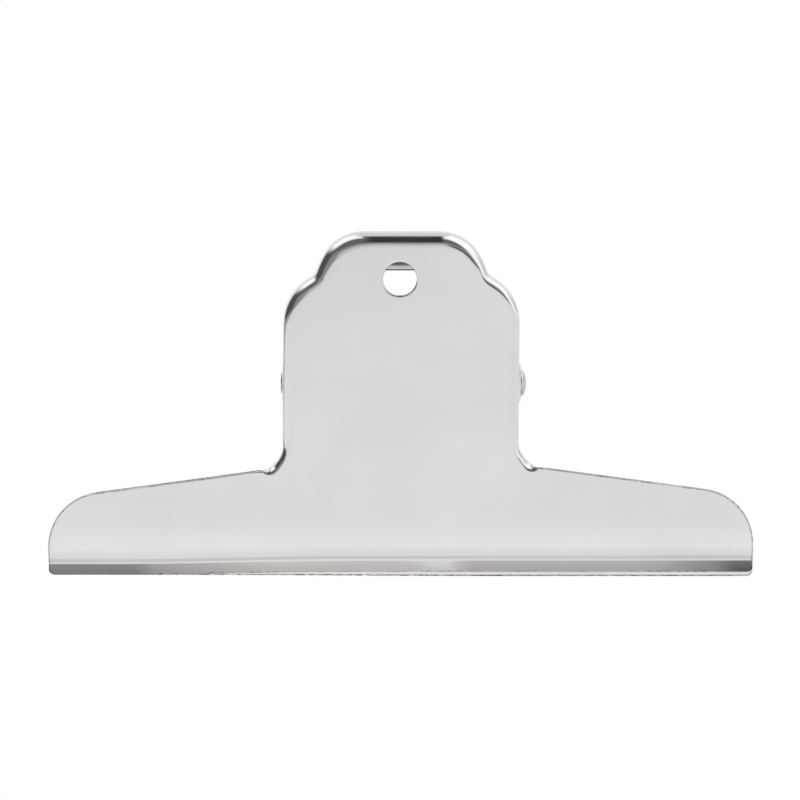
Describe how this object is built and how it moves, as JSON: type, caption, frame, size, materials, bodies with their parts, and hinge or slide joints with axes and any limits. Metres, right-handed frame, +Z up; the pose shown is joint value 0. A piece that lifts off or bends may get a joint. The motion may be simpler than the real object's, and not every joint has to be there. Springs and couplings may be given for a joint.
{
  "type": "document clip",
  "caption": "Wide sprung steel letter clip: pressed plates hinged on a rivet pin, a double torsion spring closing the jaw, and a hanging hole in the handle.",
  "frame": {"origin": "Under the middle of the jaw, midway between the plates, on the line where both gripping lips end; it is the bottom centre of the bounding box.", "axes": "+X along the jaw towards the rivet's domed head, the front plate on the -Y side, +Z up from the jaw to the handle."},
  "size_m": [0.145, 0.0314, 0.0709],
  "materials": {
    "plate_steel": "bright rolled stainless sheet, lightly polished, with fine grain",
    "rivet_steel": "plated rivet, a little duller than the plates",
    "spring_wire": "drawn and plated spring wire with fine lengthwise die marks"
  },
  "bodies": {
    "back_half": {"back_plate": "plate_steel", "torsion_spring": "spring_wire"},
    "front_half": {"front_plate": "plate_steel", "rivet_pin": "rivet_steel"}
  },
  "joints": [
    {"name": "jaw_hinge", "type": "hinge", "parent": "back_half", "child": "front_half", "pos_m": [0, 0, 0.0398], "axis": [-1, 0, 0], "range_deg": [0, 40.5], "stiffness_Nm_per_rad": 0.7, "springref_deg": -49.27, "deforming": ["torsion_spring"]}
  ]
}
